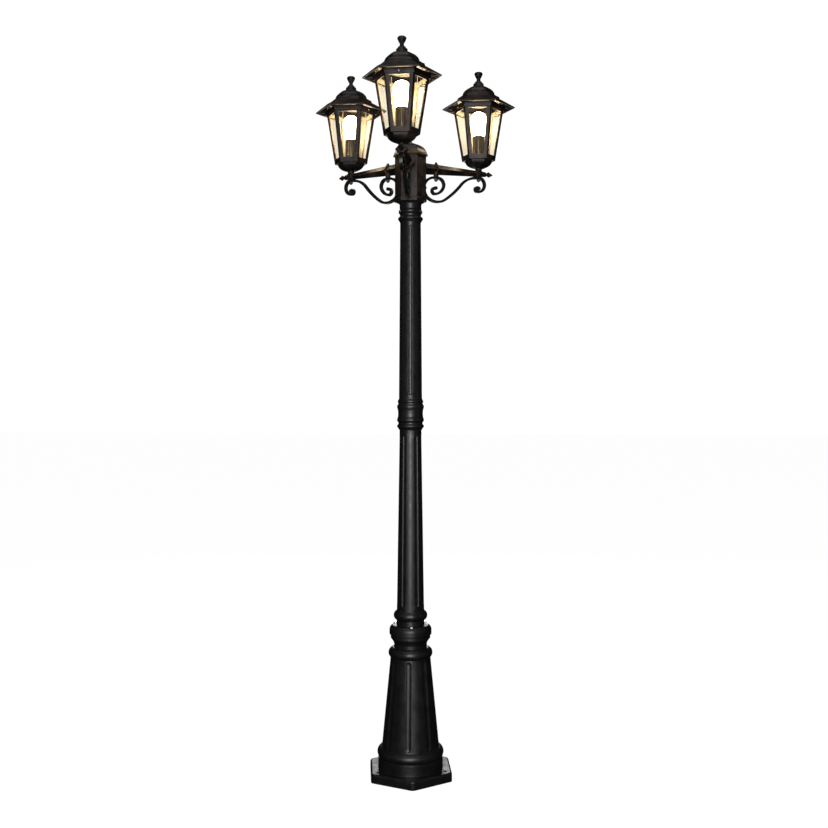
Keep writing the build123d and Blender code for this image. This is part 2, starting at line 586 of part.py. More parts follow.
# ---------------------------------------------------------------- the hub
def hub():
    rim_low = HUB_Z + HUB_COVE_HEIGHT
    rim_top = rim_low + HUB_RIM_HEIGHT
    body = extrude(hexagon(HUB_RADIUS, rim_low), HUB_HEIGHT - HUB_COVE_HEIGHT)
    body += extrude(hexagon(HUB_RIM_RADIUS, rim_low), HUB_RIM_HEIGHT - HUB_RIM_BEVEL)
    body += hex_taper(HUB_RIM_RADIUS, rim_top - HUB_RIM_BEVEL, HUB_RADIUS, rim_top)
    body += turned([(HUB_COVE_RADIUS, HUB_Z), (HUB_RIM_RADIUS * COS30, rim_low)], [(0, rim_low), (0, HUB_Z)])
    body -= extrude(hexagon(HUB_HOLLOW, HUB_Z + HUB_FLOOR), HUB_HEIGHT)
    body -= drum(ROD_DIAMETER / 2 + FIT, HUB_Z - 1, HUB_Z + HUB_FLOOR + 1)
    cable_hole = drum(HUB_CABLE_HOLE / 2, HUB_Z - 1, HUB_Z + HUB_FLOOR + 1)
    body -= Rot(0, 0, HUB_CABLE_TURN) * Pos(0, -HUB_CABLE_OFFSET, 0) * cable_hole
    near, far = HUB_FACE - 2 * HUB_WALL, HUB_FACE + HUB_WALL
    holes = along_front(near, far, ARM_Z, ARM_ROOT_HALF * sin(radians(45)) - ARM_WALL)
    holes += along_front(near, far, FIXING_Z, FIXING_SHANK / 2 + FIT)
    return body - [Rot(0, 0, angle) * holes for angle in ARM_ANGLES.values()]


def hub_cap():
    z = HUB_TOP_Z
    hollow_radius = HUB_HOLLOW - RUNNING - CAP_WALL
    body = extrude(hexagon(CAP_EAVE_RADIUS, z), CAP_EAVE_HEIGHT)
    body += hex_dome(CAP_DOME_RADIUS, CAP_DOME_HEIGHT, z + CAP_EAVE_HEIGHT, CAP_CREASE, CAP_FLAT_RADIUS)
    body += extrude(hexagon(HUB_HOLLOW - RUNNING, z - CAP_LIP_HEIGHT), CAP_LIP_HEIGHT)
    hollow = extrude(hexagon(hollow_radius, z - CAP_LIP_HEIGHT), CAP_LIP_HEIGHT + CAP_EAVE_HEIGHT)
    hollow += hex_dome(hollow_radius, CAP_DOME_HEIGHT - CAP_WALL, z + CAP_EAVE_HEIGHT, CAP_CREASE / 2,
                       CAP_FLAT_RADIUS)
    return body - hollow - drum(ROD_DIAMETER / 2 + RUNNING, z, cap_top() + 1)


def cap_top():
    """Height of the flat on the hub cap's top."""
    rise = CAP_DOME_HEIGHT * sqrt(1 - (CAP_FLAT_RADIUS / CAP_DOME_RADIUS) ** 2)
    return HUB_TOP_Z + CAP_EAVE_HEIGHT + rise


def cap_rod():
    return drum(ROD_DIAMETER / 2, HUB_Z, cap_top() + ROD_ABOVE_CAP)


def cap_nut():
    z = cap_top()
    crown_z = z + CAP_NUT_HEIGHT
    body = extrude(Pos(0, 0, z) * RegularPolygon(CAP_NUT_WIDTH / 2, 6), CAP_NUT_HEIGHT)
    body += Pos(0, 0, crown_z) * Sphere(CAP_NUT_CROWN) & block_from(crown_z, 1)
    return body - drum(ROD_DIAMETER / 2 + FIT, z - 1, z + ROD_ABOVE_CAP)


def terminal_block():
    z = HUB_Z + HUB_FLOOR
    y = ROD_DIAMETER + TERMINAL_WIDTH / 2
    block = Pos(0, y, z + TERMINAL_HEIGHT / 2) * Box(TERMINAL_LENGTH, TERMINAL_WIDTH, TERMINAL_HEIGHT)
    pitch = TERMINAL_LENGTH / TERMINAL_WAYS
    for way in range(TERMINAL_WAYS):
        x = (way - (TERMINAL_WAYS - 1) / 2) * pitch
        entry = Pos(x, y, z + TERMINAL_ENTRY_HEIGHT) * Rot(90, 0, 0)
        block -= entry * Cylinder(TERMINAL_ENTRY / 2, TERMINAL_WIDTH + 2)
        block -= Pos(x, y, z + TERMINAL_HEIGHT) * Cylinder(TERMINAL_SCREW / 2, 2 * TERMINAL_SCREW_DEPTH)
    return block


# ---------------------------------------------------------------- one arm, drawn toward the front
def arm_half(s):
    """Half diagonal of the arm's diamond section at distance s."""
    return ARM_ROOT_HALF + (ARM_TIP_HALF - ARM_ROOT_HALF) * (s - HUB_FACE) / (ARM_REACH - HUB_FACE)


def arm():
    z, root = ARM_Z, HUB_FACE
    root_end, neck_end = root + ROOT_COLLAR_LENGTH, ARM_REACH + POINT_NECK_LENGTH
    shoulder = neck_end + POINT_SHOULDER
    body = diamond_taper(ARM_ROOT_HALF, root, ARM_TIP_HALF, ARM_REACH, z)
    body += diamond_taper(ARM_ROOT_HALF + ROOT_COLLAR_PROUD, root, arm_half(root_end) + ROOT_COLLAR_PROUD,
                          root_end, z)
    body += diamond_taper(ARM_TIP_HALF, ARM_REACH, POINT_NECK_HALF, neck_end, z)
    body += diamond_taper(POINT_NECK_HALF, neck_end, POINT_HALF, shoulder, z)
    body += diamond_taper(POINT_HALF, shoulder, POINT_TIP_HALF, neck_end + POINT_LENGTH, z)
    body += arm_collar() + lantern_boss()
    bore_end = LANTERN_REACH - BOSS_LENGTH / 2
    wall = ARM_WALL / sin(radians(45))
    body -= diamond_taper(arm_half(root) - wall, root, arm_half(bore_end) - wall, bore_end, z)
    body -= along_front(bore_end, LANTERN_REACH, z, STEM_BORE / 2)
    body -= Pos(0, -LANTERN_REACH, z) * Cylinder(STEM_TUBE / 2 + FIT, 3 * BOSS_HALF)
    body -= Pos(0, -LANTERN_REACH, 0) * drum(STEM_RADIUS + SPOT_GAP, STEM_Z, STEM_Z + BOSS_RISE)
    seat = z - CURL_SEAT_DROP
    return body - Pos(0, -COLLAR_POSITION, 0) * drum(FIXING_SHANK / 2 + FIT, seat - 1, seat + CURL_BOLT_REACH)


def arm_collar():
    """Diamond plate round the arm, with a pad under it for the curl."""
    half, seat = COLLAR_LENGTH / 2, ARM_Z - CURL_SEAT_DROP
    plate = diamond_taper(COLLAR_HALF, COLLAR_POSITION - half, COLLAR_HALF, COLLAR_POSITION + half, ARM_Z)
    pad = drum(CURL_PAD_RADIUS, seat, ARM_Z)
    return plate + Pos(0, -COLLAR_POSITION, 0) * pad - Pos(0, -COLLAR_POSITION, 0) * block_from(seat, -1)


def lantern_boss():
    """Bevelled diamond boss, flat above and below, that carries a lantern."""
    low, high = LANTERN_REACH - BOSS_LENGTH / 2, LANTERN_REACH + BOSS_LENGTH / 2
    edge = BOSS_HALF - BOSS_BEVEL
    boss = diamond_taper(BOSS_HALF, low + BOSS_BEVEL, BOSS_HALF, high - BOSS_BEVEL, ARM_Z)
    boss += diamond_taper(edge, low, BOSS_HALF, low + BOSS_BEVEL, ARM_Z)
    boss += diamond_taper(BOSS_HALF, high - BOSS_BEVEL, edge, high, ARM_Z)
    boss += Pos(0, -LANTERN_REACH, 0) * drum(STEM_RADIUS, ARM_Z, STEM_Z)
    for level, way in ((STEM_Z, 1), (ARM_Z - BOSS_DROP, -1)):
        boss -= Pos(0, -LANTERN_REACH, 0) * block_from(level, way)
    return boss


def bar_along(start, heading, leg, rise, eye):
    """Flat bar bent in the plane of the front arm: a straight leg, (radius, turn) arcs up to a
    flat crown, and more arcs to a round-ended eye."""
    edges = []
    here = Vector(*start)
    way = Vector(cos(radians(heading)), sin(radians(heading)))

    def straight(length):
        nonlocal here
        edges.append(Line(here, here + way * length))
        here = here + way * length

    def bend(arcs):
        nonlocal here, way
        for radius, turn in arcs:
            arc = JernArc(start=here, tangent=way, radius=radius, arc_size=turn)
            edges.append(arc)
            here, way = arc @ 1, arc % 1

    if leg:
        straight(leg)
    bend(rise)
    straight(NUT_WIDTH)
    bend(eye)
    path = Plane(origin=(0, 0, 0), x_dir=(0, -1, 0), z_dir=(-1, 0, 0)) * Wire(edges)
    section = Plane(origin=path @ 0, x_dir=(1, 0, 0), z_dir=path % 0) * Rectangle(BAR_WIDTH, BAR_THICKNESS)
    bar = sweep(section, path=path)
    return bar + Pos(*(path @ 1)) * Rot(0, 90, 0) * Cylinder(EYE_RADIUS, BAR_WIDTH)


def scroll():
    """S-scroll from the hub's face, under the lantern's boss, to the eye."""
    rise = SCROLL_RISE + [(CROWN_RADIUS, -SCROLL_SLOPE)]
    bar = bar_along((BAR_S, LEG_TOP_Z), -90, LEG_TOP_Z - LEG_FOOT_Z, rise, SCROLL_EYE)
    bar -= Pos(0, -LANTERN_REACH, ARM_Z - BOSS_DROP) * Cylinder(STUD_RADIUS + FIT, BAR_THICKNESS * 4)
    return bar - along_front(HUB_FACE - 1, HUB_FACE + BAR_THICKNESS + 1, FIXING_Z, FIXING_SHANK / 2 + FIT)


def curl():
    """C-curl from the hub's face, up under the arm's collar and round to its eye."""
    bar = bar_along((BAR_S, CURL_FOOT_Z), 90, 0, CURL_RISE, CURL_EYE)
    return bar - Pos(0, -COLLAR_POSITION, ARM_Z - CURL_SEAT_DROP) * Cylinder(FIXING_SHANK / 2 + FIT,
                                                                              BAR_THICKNESS * 4)


# ---------------------------------------------------------------- one lantern, about its own axis
def cage_radius(z):
    """Corner radius of the cage's outside at height z."""
    return CAGE_FOOT_RADIUS + (CAGE_HEAD_RADIUS - CAGE_FOOT_RADIUS) * (z - CAGE_Z) / CAGE_HEIGHT


def window(low, high, margin):
    """Prism that cuts a front pane's opening, margin in from the cage's corners."""
    lower, upper = cage_radius(low) / 2 - margin, cage_radius(high) / 2 - margin
    outline = Polyline((-lower, low), (lower, low), (upper, high), (-upper, high), close=True)
    return Pos(0, -CAGE_FOOT_RADIUS * 0.4, 0) * extrude(Plane.XZ * make_face(outline), cage_radius(high))


def cage_skin(inset_low, low, high):
    """Solid six-sided taper, inset square to the cage's walls."""
    inset = inset_low / COS30
    return hex_taper(cage_radius(low) - inset, low, cage_radius(high) - inset, high)


def bowl():
    shell = hex_dome(BOWL_RADIUS, -BOWL_DEPTH, CAGE_Z, BOWL_CREASE, STEM_RADIUS)
    hollow = hex_dome(BOWL_RADIUS - BOWL_WALL / COS30, -(BOWL_DEPTH - BOWL_WALL), CAGE_Z, BOWL_CREASE,
                      STEM_RADIUS)
    return shell - hollow - drum(STEM_TUBE / 2 + FIT, BOWL_FOOT_Z - 1, CAGE_Z)


def stem():
    """Foot, through tube and stud that hold the lantern to the arm."""
    tube, boss_foot = STEM_TUBE / 2, ARM_Z - BOSS_DROP
    tube_top, tube_low = CAGE_Z + CAGE_FLOOR + TUBE_IN_HOLDER, ARM_Z - STEM_BORE / 2
    stud_low = boss_foot - BAR_THICKNESS - NUT_HEIGHT
    waist = (STEM_Z + BOWL_FOOT_Z) / 2
    body = turned(
        [(STUD_RADIUS, stud_low), (STUD_RADIUS, boss_foot), (tube, boss_foot), (tube, STEM_Z),
         (STEM_RADIUS, STEM_Z), (STEM_RADIUS - STEM_GROOVE, waist), (STEM_RADIUS, BOWL_FOOT_Z),
         (tube, BOWL_FOOT_Z), (tube, tube_top)],
        [(STEM_BORE / 2, tube_top), (STEM_BORE / 2, tube_low), (0, tube_low), (0, stud_low)])
    side_hole = Pos(0, tube / 2, ARM_Z) * Rot(90, 0, 0) * Cylinder(STEM_SIDE_BORE / 2, STEM_TUBE)
    return body - side_hole


def cage():
    low, high = CAGE_Z, CAGE_TOP_Z
    body = cage_skin(0, low, high) - cage_skin(CAGE_WALL, low + CAGE_FLOOR, high)
    opening = window(low + BOTTOM_RAIL, high - TOP_RAIL, POST_WIDTH)
    body -= [Rot(0, 0, 60 * side) * opening for side in range(6)]
    body -= drum(STEM_TUBE / 2 + FIT, low - 1, low + CAGE_FLOOR + 1)
    slot_width = SCREW_SHANK + 2 * RUNNING
    slot = Pos(0, 0, SCREW_Z) * Rot(90, 0, 0) * Cylinder(slot_width / 2, 2 * ROOF_RADIUS)
    slot += Pos(0, 0, high) * Box(slot_width, 2 * ROOF_RADIUS, 2 * SCREW_BELOW_TOP)
    return body - slot


def panes():
    lap = POST_WIDTH - PANE_LAP
    low, high = CAGE_Z + BOTTOM_RAIL - PANE_LAP, CAGE_TOP_Z - TOP_RAIL + PANE_LAP
    gap = CAGE_WALL + PANE_GAP
    sheet = cage_skin(gap, low, high) - cage_skin(gap + PANE_THICKNESS, low, high)
    pane = sheet & window(low, high, lap)
    return Compound(children=[Rot(0, 0, 60 * side) * pane for side in range(6)])


def roof_levels():
    """Heights of the fascia's edge, the eave's top, the tier's top and the dome's foot."""
    edge = CAGE_TOP_Z - ROOF_OVERLAP
    eave_top = edge + FASCIA_HEIGHT + EAVE_RISE
    tier_top = eave_top + TIER_HEIGHT
    return edge, eave_top, tier_top, tier_top + TIER_COVE_HEIGHT


def roof():
    edge, eave_top, tier_top, dome_foot = roof_levels()
    fascia_top = edge + FASCIA_HEIGHT
    body = extrude(hexagon(ROOF_RADIUS, edge), FASCIA_HEIGHT)
    body += hex_taper(ROOF_RADIUS, fascia_top, EAVE_TOP_RADIUS, eave_top)
    body += hex_taper(TIER_RADIUS, eave_top - TIER_SINK, TIER_TOP_RADIUS, tier_top)
    body += hex_taper(TIER_COVE_RADIUS, tier_top, DOME_FOOT_RADIUS, dome_foot)
    body += hex_dome(DOME_RADIUS, DOME_HEIGHT, dome_foot, DOME_CREASE, ROOF_FLAT_RADIUS)
    body -= roof_hollow()
    skirt_low = CAGE_TOP_Z - ROOF_SKIRT_LAP
    skirt_top = skirt_low + ROOF_SKIRT_HEIGHT
    body += cage_skin(-SKIRT_GAP - ROOF_WALL, skirt_low, skirt_top) - cage_skin(-SKIRT_GAP, skirt_low, skirt_top)
    body += roof_ribs()
    slope = (ROOF_RADIUS - EAVE_TOP_RADIUS) / EAVE_RISE
    nub_reach = (ROOF_RADIUS - slope * NUB_RISE) * COS30 - NUB_SINK
    body += [Pos(0, side * nub_reach, fascia_top + NUB_RISE) * Sphere(NUB_RADIUS) for side in (-1, 1)]
    screw_hole = along_front(0, screw_seat(), SCREW_Z, SCREW_SHANK / 2 + FIT)
    screw_hole += along_front(screw_seat(), screw_seat() + SCREW_HEAD_HEIGHT, SCREW_Z, SCREW_HEAD / 2 + FIT)
    body -= around(2, 0, screw_hole)
    return body - drum(FINIAL_TENON / 2 + FIT, dome_foot, roof_top() + 1)


def roof_hollow():
    """The room under the roof's eave, tier and dome."""
    edge, eave_top, tier_top, dome_foot = roof_levels()
    wall = ROOF_WALL / COS30
    eave_slope = (ROOF_RADIUS - EAVE_TOP_RADIUS) / EAVE_RISE
    ceiling = eave_top - ROOF_WALL
    mouth = ROOF_RADIUS - wall
    tier_foot = min(EAVE_TOP_RADIUS, TIER_TOP_RADIUS) - 2 * wall
    slope_foot = edge + FASCIA_HEIGHT / 2
    hollow = extrude(hexagon(mouth, edge), FASCIA_HEIGHT / 2)
    hollow += hex_taper(mouth, slope_foot, mouth - eave_slope * (ceiling - slope_foot), ceiling)
    hollow += hex_taper(tier_foot, ceiling - ROOF_WALL, DOME_RADIUS - 2 * wall, dome_foot)
    return hollow + hex_dome(DOME_RADIUS - 2 * wall, DOME_HEIGHT - ROOF_WALL, dome_foot, DOME_CREASE,
                             ROOF_FLAT_RADIUS)


def roof_ribs():
    """Thin webs at the corners that tie the inner skirt to the eave and rest on the cage's rim."""
    edge, eave_top, *_ = roof_levels()
    fascia_top, seat = edge + FASCIA_HEIGHT, CAGE_TOP_Z + SEAT
    rim = cage_radius(CAGE_TOP_Z)
    outer, clear, inner = ROOF_RADIUS - ROOF_WALL, rim + SKIRT_GAP, rim - CAGE_WALL
    top = fascia_top + EAVE_RISE * (ROOF_RADIUS - inner) / (ROOF_RADIUS - EAVE_TOP_RADIUS) - ROOF_WALL / 2
    outline = Polyline((-outer, edge + RIB_LIFT), (-clear, edge + RIB_LIFT), (-clear, seat), (-inner, seat),
                       (-inner, top), (-outer, fascia_top - RIB_LIFT), close=True)
    rib = extrude(Plane.YZ * make_face(outline), RIB_WIDTH / 2, both=True)
    return [Rot(0, 0, 30 + 60 * side) * rib for side in range(6)]


def roof_top():
    """Height of the flat on the roof's dome, where the finial stands."""
    return roof_levels()[3] + DOME_HEIGHT * sqrt(1 - (ROOF_FLAT_RADIUS / DOME_RADIUS) ** 2)


def screw_seat():
    """Distance from the lantern's axis to the flats under the roof screws' heads."""
    return cage_radius(SCREW_Z) * COS30 + SKIRT_GAP + ROOF_WALL


def roof_screws():
    """Two screws through the roof's skirt into the cage's slots."""
    seat = screw_seat()
    head_top = seat + SCREW_HEAD_HEIGHT
    tip = cage_radius(SCREW_Z) * COS30 - CAGE_WALL - SCREW_PAST_WALL
    profile = turned([(SCREW_SHANK / 2, tip), (SCREW_SHANK / 2, seat), (SCREW_HEAD / 2, seat),
                      (SCREW_HEAD / 2, head_top - SCREW_BEVEL), (SCREW_HEAD / 2 - SCREW_BEVEL, head_top)],
                     [(0, head_top), (0, tip)])
    screw = Pos(0, 0, SCREW_Z) * Rot(90, 0, 0) * profile
    return Compound(children=around(2, 0, screw))


def finial():
    foot = roof_top()
    tenon, low = FINIAL_TENON / 2, foot - FINIAL_TENON_LENGTH
    body = raised(FINIAL_OUTLINE, foot)
    return turned([(tenon, low), (tenon, foot)] + body, [(0, body[-1][1]), (0, low)])


# ---------------------------------------------------------------- the lamp inside
def holder_top():
    return CAGE_Z + CAGE_FLOOR + HOLDER_HEIGHT


def lampholder():
    low, top = CAGE_Z + CAGE_FLOOR, holder_top()
    foot, floor = low + HOLDER_FOOT, top - HOLDER_SOCKET
    socket, tube, bore = HOLDER_RADIUS - HOLDER_WALL, STEM_TUBE / 2 + FIT, STEM_BORE / 2
    return turned(
        [(HOLDER_RADIUS - HOLDER_EDGE, low), (HOLDER_RADIUS, foot), (HOLDER_RADIUS, top - HOLDER_EDGE),
         (HOLDER_RADIUS - HOLDER_EDGE, top)],
        [(socket, top), (socket, floor), (bore, floor), (bore, foot), (tube, foot), (tube, low)])


def bulb_cap():
    top = holder_top() + SEAT
    radius, low = HOLDER_RADIUS - HOLDER_WALL - RUNNING, top - BULB_CAP_LENGTH
    tip = low - CONTACT_HEIGHT
    return turned([(CONTACT_RADIUS, tip), (CONTACT_RADIUS, low), (radius - CAP_SHOULDER / 2, low),
                   (radius, low + CAP_SHOULDER), (radius, top)], [(0, top), (0, tip)])


def bulb_glass():
    low = holder_top() + SEAT
    inner = BULB_WALL
    belly = low + BULB_HEIGHT - BULB_RADIUS
    outer_side = Spline((BULB_NECK_RADIUS, 0, low), (BULB_SHOULDER_RADIUS, 0, low + BULB_SHOULDER_HEIGHT),
                        (BULB_RADIUS, 0, belly), tangents=[(0.25, 0, 1), (0, 0, 1)])
    outer_dome = ThreePointArc((BULB_RADIUS, 0, belly),
                               (BULB_RADIUS * sin(radians(45)), 0, belly + BULB_RADIUS * cos(radians(45))),
                               (0, 0, belly + BULB_RADIUS))
    inner_radius = BULB_RADIUS - inner
    inner_dome = ThreePointArc((0, 0, belly + inner_radius),
                               (inner_radius * sin(radians(45)), 0, belly + inner_radius * cos(radians(45))),
                               (inner_radius, 0, belly))
    inner_side = Spline((inner_radius, 0, belly),
                        (BULB_SHOULDER_RADIUS - inner, 0, low + BULB_SHOULDER_HEIGHT),
                        (BULB_NECK_RADIUS - inner, 0, low), tangents=[(0, 0, -1), (-0.25, 0, -1)])
    crown = Line((0, 0, belly + BULB_RADIUS), (0, 0, belly + inner_radius))
    mouth = Line((BULB_NECK_RADIUS - inner, 0, low), (BULB_NECK_RADIUS, 0, low))
    outline = Wire([outer_side, outer_dome, crown, inner_dome, inner_side, mouth])
    return revolve(make_face(outline), Axis.Z)


# ---------------------------------------------------------------- fixings shared by the arms
def at_arms(shape):
    """One copy of a shape for each arm, as separate solids of one node."""
    return Compound(children=[Rot(0, 0, angle) * shape for angle in ARM_ANGLES.values()])


def scroll_screws():
    """Screws that hold the scrolls' legs to the hub, with pointed heads."""
    seat = HUB_FACE + BAR_THICKNESS
    low = HUB_FACE - HUB_WALL - FIXING_PAST_WALL
    shank, head, tip = FIXING_SHANK / 2, FIXING_HEAD / 2, seat + FIXING_HEAD_HEIGHT
    profile = turned([(shank, low), (shank, seat), (head, seat), (head, tip - FIXING_POINT), (NUT_TIP_RADIUS, tip)],
                     [(0, tip), (0, low)])
    return at_arms(Pos(0, 0, FIXING_Z) * Rot(90, 0, 0) * profile)


def curl_bolts():
    """Screws with pointed heads that hold the curls up to the arms' collars."""
    crown = ARM_Z - CURL_SEAT_DROP
    seat = crown - BAR_THICKNESS
    bolt = pointed_nut(NUT_WIDTH, NUT_HEIGHT, NUT_POINT, seat)
    bolt += drum(FIXING_SHANK / 2, seat - 1, crown + CURL_BOLT_REACH)
    return at_arms(Pos(0, -COLLAR_POSITION, 0) * bolt)


def stem_nuts():
    """Pointed nuts on the lanterns' studs, under the scrolls."""
    seat = ARM_Z - BOSS_DROP - BAR_THICKNESS
    nut = pointed_nut(NUT_WIDTH, NUT_HEIGHT, NUT_POINT, seat)
    nut -= drum(STUD_RADIUS + FIT, seat - NUT_HEIGHT, seat + 1)
    return at_arms(Pos(0, -LANTERN_REACH, 0) * nut)


# ---------------------------------------------------------------- assembly
def build():
    for name, maker in {
            "base_casting": base_casting, "clamp_ring": clamp_ring, "clamp_bolts": clamp_bolts,
            "lower_shaft": lower_shaft, "coupling_socket": coupling_socket, "coupling_cap": coupling_cap,
            "coupling_sleeve": coupling_sleeve, "upper_shaft": upper_shaft, "top_collar": top_collar,
            "grub_screws": grub_screws, "hub": hub, "hub_cap": hub_cap, "cap_rod": cap_rod,
            "cap_nut": cap_nut, "terminal_block": terminal_block, "scroll_screws": scroll_screws,
            "curl_bolts": curl_bolts, "stem_nuts": stem_nuts}.items():
        keep(name, maker())
    on_arm = {"arm": arm(), "scroll": scroll(), "curl": curl()}
    on_lantern = {"roof": roof(), "finial": finial(), "roof_screws": roof_screws(), "cage": cage(),
                  "panes": panes(), "bowl": bowl(), "stem": stem(), "lampholder": lampholder(),
                  "bulb_glass": bulb_glass(), "bulb_cap": bulb_cap()}
    for side, angle in ARM_ANGLES.items():
        for name, shape in on_arm.items():
            keep(f"{side}_{name}", Rot(0, 0, angle) * shape)
        for name, shape in on_lantern.items():
            keep(f"{side}_{name}", Rot(0, 0, angle) * Pos(0, -LANTERN_REACH, 0) * shape)


build()
os.makedirs("parts", exist_ok=True)
for node, solid in parts.items():
    export_step(solid, f"parts/{node}.step")
print(len(parts), "nodes; overall height", round(roof_top() + FINIAL_OUTLINE[-1][1], 1))
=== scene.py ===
import bmesh
import bpy
import json
from math import atan2, cos, hypot, radians, sin
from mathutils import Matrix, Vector


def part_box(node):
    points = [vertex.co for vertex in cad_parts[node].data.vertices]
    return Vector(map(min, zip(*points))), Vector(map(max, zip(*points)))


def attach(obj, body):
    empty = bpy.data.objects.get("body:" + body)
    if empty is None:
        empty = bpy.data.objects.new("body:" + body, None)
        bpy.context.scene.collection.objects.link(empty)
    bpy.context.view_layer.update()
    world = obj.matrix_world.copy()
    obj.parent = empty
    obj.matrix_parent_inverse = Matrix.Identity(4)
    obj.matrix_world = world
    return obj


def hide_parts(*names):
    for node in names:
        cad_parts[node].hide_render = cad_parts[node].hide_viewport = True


# Triple head lamp post, dressed for the studio. Metres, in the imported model's frame:
# +Z up the post, the front arm toward -Y.

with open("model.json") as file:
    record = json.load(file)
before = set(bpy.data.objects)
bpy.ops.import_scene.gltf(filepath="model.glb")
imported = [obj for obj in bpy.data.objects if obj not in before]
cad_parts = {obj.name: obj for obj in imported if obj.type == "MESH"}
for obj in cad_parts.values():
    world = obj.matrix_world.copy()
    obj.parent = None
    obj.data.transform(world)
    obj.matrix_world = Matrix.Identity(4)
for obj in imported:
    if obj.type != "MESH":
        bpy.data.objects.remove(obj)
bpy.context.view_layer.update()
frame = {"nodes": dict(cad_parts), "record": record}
nodes = frame["nodes"]
slots = {entry["node"]: entry["material_slot"] for entry in frame["record"]["subparts"]}
SIDES = ("front", "right", "left")
POST_NODES = {"base_casting", "clamp_ring", "lower_shaft", "coupling_socket", "coupling_cap", "upper_shaft",
              "top_collar"}

# ---------------------------------------------------------------- camera, as the photograph has it
PHOTO_SIDE = 828              # pixels
FOCAL_PIXELS = 1040
AXIS_PIXEL = 410.5            # column of the post's axis
HORIZON_PIXEL = 397           # row of the horizon
CAMERA_DISTANCE = 3.214
CAMERA_HEIGHT = 1.165
CAMERA_TURN = radians(6)      # round from the front arm
SENSOR = 36.0                 # millimetres

# ---------------------------------------------------------------- colours, linear
BLACK = (0.0045, 0.0045, 0.0048)
# Partly painted warm lamp light: the bronze laid on the head castings, over a real bronze rub.
BRONZE_AND_LAMP_WARMTH = (0.042, 0.028, 0.020)
# Painted highlight: lamp light caught along the head castings' edges.
PAINTED_EDGE_GLINT = (0.30, 0.15, 0.085)
RUBBED_COAT = (0.05, 0.05, 0.05)
RUBBED_BAR = (0.055, 0.05, 0.045)
LINING = (0.24, 0.215, 0.165)   # bare inside of a lantern
BRIGHT_ZINC = (0.78, 0.77, 0.74)
DULL_ZINC = (0.60, 0.61, 0.62)
CAP_METAL = (0.80, 0.78, 0.74)
ZINC_BLOOM = 0.8                # share of the tone left where the zinc has dulled
CREAM_PALE, CREAM_DEEP = (0.966, 0.940, 0.884), (0.956, 0.926, 0.862)
PANE_FILM = (0.92, 0.88, 0.78, 1)
OPAL = (0.95, 0.92, 0.86, 1)
GLOW_PALE, GLOW_DEEP = (1.0, 0.86, 0.66), (1.0, 0.82, 0.60)
HOLDER_DARK, HOLDER_LIGHT = (0.080, 0.070, 0.056), (0.140, 0.120, 0.098)
PLASTIC_DARK, PLASTIC_LIGHT = (0.62, 0.60, 0.54), (0.70, 0.68, 0.62)
FLOOR_DARK, FLOOR_LIGHT = (0.10, 0.10, 0.10), (0.13, 0.13, 0.13)
WHITE = (1, 1, 1, 1)

# ---------------------------------------------------------------- the lanterns' bare insides
WALL_REACH = 0.085            # radius round a lamp's axis that the cage's inner walls lie in
WALL_FACING = -0.56           # a wall's normal along the way out from the axis is under this
CEILING_REACH = 0.068         # radius that the roof's ceiling lies in
CEILING_FACING = -0.45        # a ceiling's normal along +Z is under this
LINING_LEVELS = (1.93, 2.149)


def lamp_axis(side):
    """Foot of a lamp's axis on the ground, from its cage's box."""
    low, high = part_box(f"{side}_cage")
    return ((low[0] + high[0]) / 2, (low[1] + high[1]) / 2, 0.0)


